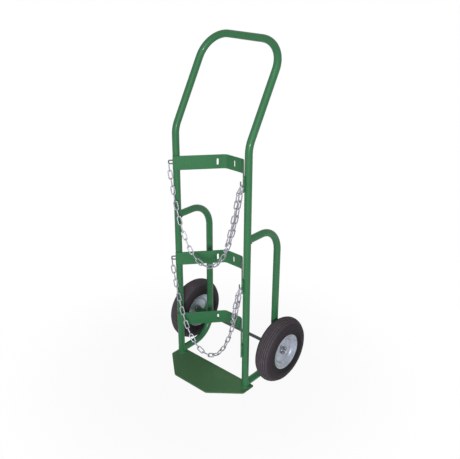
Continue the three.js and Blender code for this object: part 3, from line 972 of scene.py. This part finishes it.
class CART_OT_toe_plate(bpy.types.Operator):
    """Cuts the toe plate that the cylinders stand on"""
    bl_idname = "cart.toe_plate"
    bl_label = "Toe Plate"

    def execute(self, context):
        sizes = context.scene.cart_sizes
        corners = [
            (-186, 25), (-186, -34), (-80.5, -121.5), (80.5, -121.5), (186, -34), (186, 25),
        ]
        bm = bmesh.new()
        verts = [bm.verts.new(millimetres(x, y, 0)) for x, y in corners]
        bm.faces.new(verts)
        bmesh.ops.bevel(
            bm, geom=verts, offset=sizes.plate_corner, affect="VERTICES", segments=5,
            profile=0.5, material=-1)
        made = bmesh.ops.extrude_face_region(bm, geom=list(bm.faces))["geom"]
        top = [item for item in made if isinstance(item, bmesh.types.BMVert)]
        bmesh.ops.translate(bm, verts=top, vec=Z_AXIS * PLATE_THICKNESS)
        plate = new_piece(
            "flat_toe_plate", bm, material("Plate enamel"), "frame", "green_enamel", "toe_plate")
        round_edges(plate, sizes.edge_round)
        return {"FINISHED"}


class CART_OT_axle(bpy.types.Operator):
    """Makes the axle with its brackets, sleeves, washers and split pins"""
    bl_idname = "cart.axle"
    bl_label = "Axle and Fittings"

    centre = Vector((0, AXLE_Y, AXLE_Z))

    def ring(self, name, profile, finish, slot, node):
        bm = bmesh.new()
        turned(bm, profile, self.centre, 48)
        new_piece(name, bm, material(finish), "frame", slot, node)

    def rod(self):
        end, cut = AXLE_END_X, 1.2 * MM
        profile = [
            (0, -end), (AXLE_RADIUS - cut, -end), (AXLE_RADIUS, cut - end),
            (AXLE_RADIUS, end - cut), (AXLE_RADIUS - cut, end), (0, end),
        ]
        bm = bmesh.new()
        turned(bm, profile, self.centre, 48, closed=False)
        new_piece("axle_bar", bm, material("Axle steel"), "frame", "dark_steel", "axle_rod")

    def bracket(self, context, side, name):
        """A flat tab with a round nose, welded edge-on to the front of the rear leg."""
        nose, back, above, below = 18 * MM, 17.2 * MM, 41 * MM, 15 * MM
        top = math.atan2(above, back) + math.acos(nose / math.hypot(back, above))
        centre = self.centre + X_AXIS * (side * UPRIGHT_X - BRACKET_HALF)
        bm = bmesh.new()
        first = bm.verts.new(centre + Vector((0, math.cos(top), math.sin(top))) * nose)
        last = bmesh.ops.spin(
            bm, geom=[first], cent=centre, axis=X_AXIS, angle=1.5 * math.pi - top,
            steps=28)["geom_last"][0]
        low = bm.verts.new(centre + Vector((0, back, -below)))
        high = bm.verts.new(centre + Vector((0, back, above)))
        for pair in ((last, low), (low, high), (high, first)):
            bm.edges.new(pair)
        bmesh.ops.edgenet_fill(bm, edges=list(bm.edges))
        made = bmesh.ops.extrude_face_region(bm, geom=list(bm.faces))["geom"]
        verts = [item for item in made if isinstance(item, bmesh.types.BMVert)]
        bmesh.ops.translate(bm, verts=verts, vec=X_AXIS * 2 * BRACKET_HALF)
        tab = new_piece(
            f"{name}_axle_tab", bm, material("Green enamel"), "frame", "green_enamel",
            f"axle_bracket_{name}")
        round_edges(tab, context.scene.cart_sizes.edge_round)

    def split_pin(self, side, name):
        """One doubled wire: a ring on top, two legs through the axle, two turned-out feet."""
        top, low = AXLE_RADIUS / MM + 1, -AXLE_RADIUS / MM - 0.4
        outline = [
            (5, low - 4), (0.72, low), (0.72, top), (3.3, top + 2.6), (3.1, top + 8.2),
            (-3.1, top + 8.2), (-3.3, top + 2.6), (-0.72, top), (-0.72, low), (-4, low - 3.6),
        ]
        middle = self.centre + X_AXIS * side * PIN_X
        corners = [middle + millimetres(0, y, z) for y, z in outline]
        bm = bmesh.new()
        sweep(bm, bent_route(corners, 1.3 * MM, 8), 0.7 * MM, 10)
        new_piece(
            f"{name}_split_pin", bm, material("Rubbed zinc"), "frame", "zinc_plate",
            f"{name}_cotter_pin", crease=70)

    def execute(self, context):
        self.rod()
        for side, name in ((-1, "left"), (1, "right")):
            self.bracket(context, side, name)
            sleeve = chamfered_ring(
                WASHER_BORE, SLEEVE_RADIUS, SLEEVE_FROM_X, SLEEVE_TO_X, 0.8 * MM)
            self.ring(
                f"{name}_axle_tube", [(r, side * x) for r, x in sleeve], "Green enamel",
                "green_enamel", f"axle_sleeve_{name}")
            for place, x in (("outer", OUTER_WASHER_X), ("inner", INNER_WASHER_X)):
                flat = chamfered_ring(
                    WASHER_BORE, WASHER_RADIUS, x, x + WASHER_THICKNESS, 0.3 * MM)
                self.ring(
                    f"{name}_{place}_flat_washer", [(r, side * x) for r, x in flat],
                    "Rubbed zinc", "zinc_plate", f"{name}_washer_{place}")
            self.split_pin(side, name)
        return {"FINISHED"}


class CART_OT_wheels(bpy.types.Operator):
    """Makes both wheels: tyre, rim, two pressed discs, hub and bushes"""
    bl_idname = "cart.wheels"
    bl_label = "Wheels"

    def tyre_profile(self, sizes):
        """Bead seat, bulging wall with fine ribs, and tread with grooves."""
        grooves = [(90, 2.6), (78, 2.6), (66, 2.6), (54, 2.6)]
        ribs = [(42, 1.8), (30, 1.8), (24, 1.8), (-6, 2.4)]
        half = [(61.2 * MM, 12 * MM), (61.8 * MM, 24.6 * MM), (67.6 * MM, 26 * MM)]
        for step in range(101):
            angle = -36 + step * 126 / 100
            sink = sum(
                sizes.groove_depth * max(0, 1 - ((angle - at) / width) ** 4)
                for at, width in grooves)
            sink -= sum(
                sizes.wall_rib * max(0, 1 - ((angle - at) / width) ** 2) for at, width in ribs)
            turn = math.radians(angle)
            half.append((
                88 * MM + (37 * MM - sink) * math.sin(turn), (34 * MM - sink) * math.cos(turn)))
        return self.mirrored(half)

    def rim_profile(self):
        return self.mirrored([(radius * MM, along * MM) for radius, along in (
            (61, 17.1), (61.5, 25.4), (66.6, 26.4), (67.6, 27), (68, 27.7), (67.6, 28.3),
            (66.6, 28.5), (64.5, 27.7), (61.5, 26), (59.2, 24.4), (58.8, 17.1),
        )][::-1])

    def disc_profile(self):
        face = [(radius * MM, along * MM) for radius, along in (
            (58.8, 24.2), (55.5, 23.9), (53.4, 23.2), (51.9, 22.3), (50.3, 21.6), (49, 20.7),
            (47.9, 19.5), (46.2, 17.3), (44.6, 15.2), (43.6, 14.5), (42.3, 14.2), (38, 14.2),
            (33.5, 14.4), (31.4, 14.3), (29.8, 13.7), (28, 13.5), (22, 13.5), (13, 13.5),
        )]
        return face + [(radius, along - 2 * MM) for radius, along in reversed(face)]

    def mirrored(self, half):
        return half + [(radius, -along) for radius, along in reversed(half)]

    def part(self, name, piece, profile, side, steps, finish, slot, node):
        bm = bmesh.new()
        centre = Vector((self.side * WHEEL_X, AXLE_Y, AXLE_Z))
        turned(bm, [(r, side * along) for r, along in profile], centre, steps)
        new_piece(f"{name}_{piece}", bm, material(finish), f"{name}_wheel", slot,
                  f"{name}_wheel_{node}", crease=50)

    def execute(self, context):
        sizes = context.scene.cart_sizes
        hub = chamfered_ring(BUSH_RADIUS, HUB_RADIUS, -HUB_HALF, HUB_HALF, 0.8 * MM)
        low, high = HUB_HALF - BUSH_LENGTH, HUB_HALF + BUSH_FLANGE
        bush = [
            (BUSH_BORE, low), (BUSH_RADIUS, low), (BUSH_RADIUS, HUB_HALF),
            (BUSH_FLANGE_RADIUS, HUB_HALF), (BUSH_FLANGE_RADIUS, high - 0.4 * MM),
            (BUSH_FLANGE_RADIUS - 0.4 * MM, high), (BUSH_BORE + 0.4 * MM, high),
            (BUSH_BORE, high - 0.4 * MM),
        ]
        for self.side, name in ((-1, "left"), (1, "right")):
            out = self.side
            grey = ("Wheel paint", "wheel_steel")
            self.part(name, "rubber_tyre", self.tyre_profile(sizes), out, 120,
                      "Tyre rubber", "tyre_rubber", "tyre")
            self.part(name, "rolled_rim", self.rim_profile(), out, 96, *grey, "rim_band")
            self.part(name, "outer_disc", self.disc_profile(), out, 96, *grey, "disc_outer")
            self.part(name, "inner_disc", self.disc_profile(), -out, 96, *grey, "disc_inner")
            self.part(name, "hub", hub, out, 48, *grey, "hub_tube")
            bronze = ("Bush bronze", "sintered_bronze")
            self.part(name, "outer_bush", bush, out, 48, *bronze, "bush_outer")
            self.part(name, "inner_bush", bush, -out, 48, *bronze, "bush_inner")
        return {"FINISHED"}


class CART_OT_chain_fittings(bpy.types.Operator):
    """Bends the eyes and hooks that the chains hang on"""
    bl_idname = "cart.chain_fittings"
    bl_label = "Chain Eyes and Hooks"

    def wire(self, name, corners, finish, slot, node):
        bm = bmesh.new()
        sweep(bm, bent_route(corners, HOOK_BEND, 10), HOOK_WIRE, 16)
        new_piece(name, bm, material(finish), "frame", slot, node, crease=60)

    def execute(self, context):
        root = strap_end() + strap_direction() * 1 * MM
        hang = Vector((HANG_X, HANG_Y, 0))
        for name, z in SWING_LINES.items():
            self.wire(f"{name}_wire_eye", [
                on_side(root, -1, z), on_side(hang, -1, z),
                on_side(hang, -1, z + EYE_SPREAD), on_side(root, -1, z + EYE_SPREAD),
            ], "Dull zinc", "zinc_plate", f"{name}_chain_eye")
            seat = hang - X_AXIS * HOOK_SEAT
            self.wire(f"{name}_wire_hook", [
                on_side(root, 1, z), on_side(hang, 1, z), on_side(seat, 1, z),
                on_side(seat, 1, z + HOOK_RISE),
            ], "Hook enamel", "green_enamel", f"{name}_chain_hook")
        return {"FINISHED"}


class CART_OT_welds(bpy.types.Operator):
    """Lays the rippled weld beads over the frame's joints"""
    bl_idname = "cart.welds"
    bl_label = "Weld Beads"

    def bead(self, bm, points, thickness):
        """A rippled bead with tapered ends along a line of points."""
        lengths = [0.0]
        for a, b in zip(points, points[1:]):
            lengths.append(lengths[-1] + (b - a).length)
        whole = lengths[-1]
        count = max(6, round(3 * whole / self.ripple))
        even = []
        for k in range(count + 1):
            at = whole * k / count
            i = max(i for i in range(len(points) - 1) if lengths[i] <= at + 1e-9)
            span = lengths[i + 1] - lengths[i]
            even.append(points[i].lerp(points[i + 1], (at - lengths[i]) / span))
        places = []
        for k, place in enumerate(smooth_route(even)):
            taper = min(1, 0.45 + 0.3 * min(k, count - k))
            ripple = (0.88, 1.06, 1.0)[k % 3]
            size = taper * ripple
            places.append(place @ Matrix.Diagonal((size, size, 1, 1)))
        sweep(bm, places, thickness, 10)

    def circle(self, bm, centre, axis, radius, thickness):
        start = Vector((axis.z, axis.x, axis.y)) * radius
        points = [
            centre + Matrix.Rotation(math.tau * k / 36, 3, axis) @ start for k in range(37)]
        self.bead(bm, points, thickness)

    def loop_joint(self, bm, side, z):
        """Round the end of a side loop's arm, where it meets its upright."""
        radius = TUBE_RADIUS + 0.6 * MM
        points = []
        for k in range(49):
            turn = math.tau * k / 48
            across, up = radius * math.cos(turn), radius * math.sin(turn)
            depth = math.sqrt(radius ** 2 - 0.985 * across ** 2) + 0.4 * MM
            points.append(Vector((side * UPRIGHT_X + across, depth, z + up)))
        self.bead(bm, points, self.thickness)

    def strap_joint(self, bm, side, z):
        """Two upright beads in the grooves between a strap and its upright."""
        run = strap_direction()
        face = Vector((-run.y, run.x, 0))
        touch = strap_touch()
        half = STRAP_HEIGHT / 2 - 2 * MM
        for along in (-6.4 * MM, 6.4 * MM):
            foot = touch + run * along - face * (STRAP_THICKNESS / 2 - 0.2 * MM)
            ends = [on_side(foot, side, z - half), on_side(foot, side, z + half)]
            line = [ends[0].lerp(ends[1], k / 20) for k in range(21)]
            self.bead(bm, line, self.thickness * 0.85)

    def execute(self, context):
        sizes = context.scene.cart_sizes
        self.thickness = sizes.weld_bead
        self.ripple = sizes.weld_ripple
        bm = bmesh.new()
        for side in (-1, 1):
            x = side * UPRIGHT_X
            foot = Vector((x, 0, PLATE_THICKNESS + 0.8 * MM))
            self.circle(bm, foot, Z_AXIS, TUBE_RADIUS + 0.9 * MM, self.thickness)
            for z in (LOOP_TOP_Z, LOOP_FOOT_Z):
                self.loop_joint(bm, side, z)
            for z in STRAP_HEIGHTS.values():
                self.strap_joint(bm, side, z)
            for face in (-BRACKET_HALF, BRACKET_HALF):
                low = Vector((x + face * 1.1, AXLE_Y + 17.4 * MM, AXLE_Z - 14 * MM))
                high = low + Z_AXIS * 54 * MM
                self.bead(bm, [low.lerp(high, k / 20) for k in range(21)], 2 * MM)
                around = Vector((x + face * 1.15, AXLE_Y, AXLE_Z))
                self.circle(bm, around, X_AXIS, SLEEVE_RADIUS + 0.5 * MM, 1.8 * MM)
        new_piece("weld_beads", bm, material("Green enamel"), "frame", "green_enamel", crease=80)
        return {"FINISHED"}


class CART_OT_studio(bpy.types.Operator):
    """Sets the pale floor, the white surround and the soft lights"""
    bl_idname = "cart.studio"
    bl_label = "Floor and Lights"

    def floor(self, studio):
        """A pale floor that is seen as white, apart from part of the shadow on it."""
        finish = Finish("Floor", Roughness=0.9)
        finish.shader.inputs["Base Color"].default_value = (0.4, 0.4, 0.4, 1)
        white = finish.node("ShaderNodeEmission", {"Color": (1, 1, 1, 1), "Strength": 1.0})
        path = finish.node("ShaderNodeLightPath")
        seen = Value(finish, path.outputs["Is Camera Ray"])
        for ray in ("Is Glossy Ray", "Is Transmission Ray"):
            seen = seen.larger(Value(finish, path.outputs[ray]))
        split = finish.node("ShaderNodeSeparateXYZ", {0: finish.objects})
        x, y = Value(finish, split.outputs["X"]), Value(finish, split.outputs["Y"])
        shadow = finish.between((x * x + y * y) ** 0.5, 0.3, 0.9, studio.floor_shadow, 0.0)
        mixed = finish.node("ShaderNodeMixShader", {
            0: seen * (1 - shadow), 1: finish.shader.outputs[0], 2: white.outputs[0]})
        output = next(n for n in finish.tree.nodes if n.type == "OUTPUT_MATERIAL")
        finish.feed(output.inputs["Surface"], mixed.outputs[0])
        bm = bmesh.new()
        bmesh.ops.create_grid(bm, x_segments=4, y_segments=4, size=20)
        mesh = bpy.data.meshes.new("Floor")
        bm.to_mesh(mesh)
        bm.free()
        mesh.materials.append(finish.material)
        floor = bpy.data.objects.new("Floor", mesh)
        bpy.context.scene.collection.objects.link(floor)

    def surround(self, studio):
        world = bpy.data.worlds.new("Surround")
        world.use_nodes = True
        nodes, links = world.node_tree.nodes, world.node_tree.links
        background = nodes["Background"]
        path = nodes.new("ShaderNodeLightPath")
        seen = path.outputs["Is Camera Ray"]
        for ray in ("Is Glossy Ray", "Is Transmission Ray"):
            either = nodes.new("ShaderNodeMath")
            either.operation = "MAXIMUM"
            links.new(seen, either.inputs[0])
            links.new(path.outputs[ray], either.inputs[1])
            seen = either.outputs[0]
        level = nodes.new("ShaderNodeMapRange")
        level.inputs["To Min"].default_value = studio.ambient
        level.inputs["To Max"].default_value = 1.0
        links.new(seen, level.inputs["Value"])
        background.inputs["Color"].default_value = (1, 1, 1, 1)
        links.new(level.outputs[0], background.inputs["Strength"])
        bpy.context.scene.world = world

    def lamp(self, name, place, size, power):
        data = bpy.data.lights.new(name, "AREA")
        data.shape = "DISK"
        data.size = size
        data.energy = power
        lamp = bpy.data.objects.new(name, data)
        aim = Vector((0, 0, 0.6)) - place
        lamp.matrix_world = Matrix.Translation(place) @ aim.to_track_quat(
            "-Z", "Y").to_matrix().to_4x4()
        bpy.context.scene.collection.objects.link(lamp)
        return lamp

    def execute(self, context):
        studio = context.scene.cart_studio
        self.floor(studio)
        self.surround(studio)
        self.lamp("Key light", Vector((2.15, -2.45, 1.5)), 0.7, studio.key_power)
        self.lamp("High light", Vector((1.2, -1.8, 3.1)), 0.5, studio.high_power)
        back = self.lamp("Back light", Vector((-2.2, 2.6, 1.0)), 1.0, studio.back_power)
        back.visible_glossy = False
        context.scene.view_settings.view_transform = "Standard"
        return {"FINISHED"}


class CART_PT_panel(bpy.types.Panel):
    """Lists the cart's pieces"""
    bl_idname = "CART_PT_panel"
    bl_label = "Gas Cylinder Cart"
    bl_space_type = "VIEW_3D"
    bl_region_type = "UI"
    bl_category = "Cart"

    def draw(self, context):
        for operator in OPERATORS:
            self.layout.operator(operator.bl_idname)
        for group in GROUPS:
            settings = getattr(context.scene, group)
            box = self.layout.box()
            for name in settings.bl_rna.properties.keys():
                if name not in ("rna_type", "name"):
                    box.prop(settings, name)


OPERATORS = [
    CART_OT_camera, CART_OT_chains, CART_OT_tubes, CART_OT_straps, CART_OT_toe_plate,
    CART_OT_axle, CART_OT_wheels, CART_OT_chain_fittings, CART_OT_welds, CART_OT_studio,
]
GROUPS = {
    "cart_sizes": CartSizes, "cart_finishes": CartFinishes, "cart_studio": CartStudio,
}


def register():
    for cls in [*GROUPS.values(), *OPERATORS, CART_PT_panel]:
        bpy.utils.register_class(cls)
    for name, group in GROUPS.items():
        setattr(bpy.types.Scene, name, PointerProperty(type=group))


def unregister():
    for name in GROUPS:
        delattr(bpy.types.Scene, name)
    for cls in reversed([*GROUPS.values(), *OPERATORS, CART_PT_panel]):
        bpy.utils.unregister_class(cls)


def main():
    register()
    for operator in OPERATORS:
        family, name = operator.bl_idname.split(".")
        getattr(getattr(bpy.ops, family), name)()


if __name__ == "__main__":
    main()
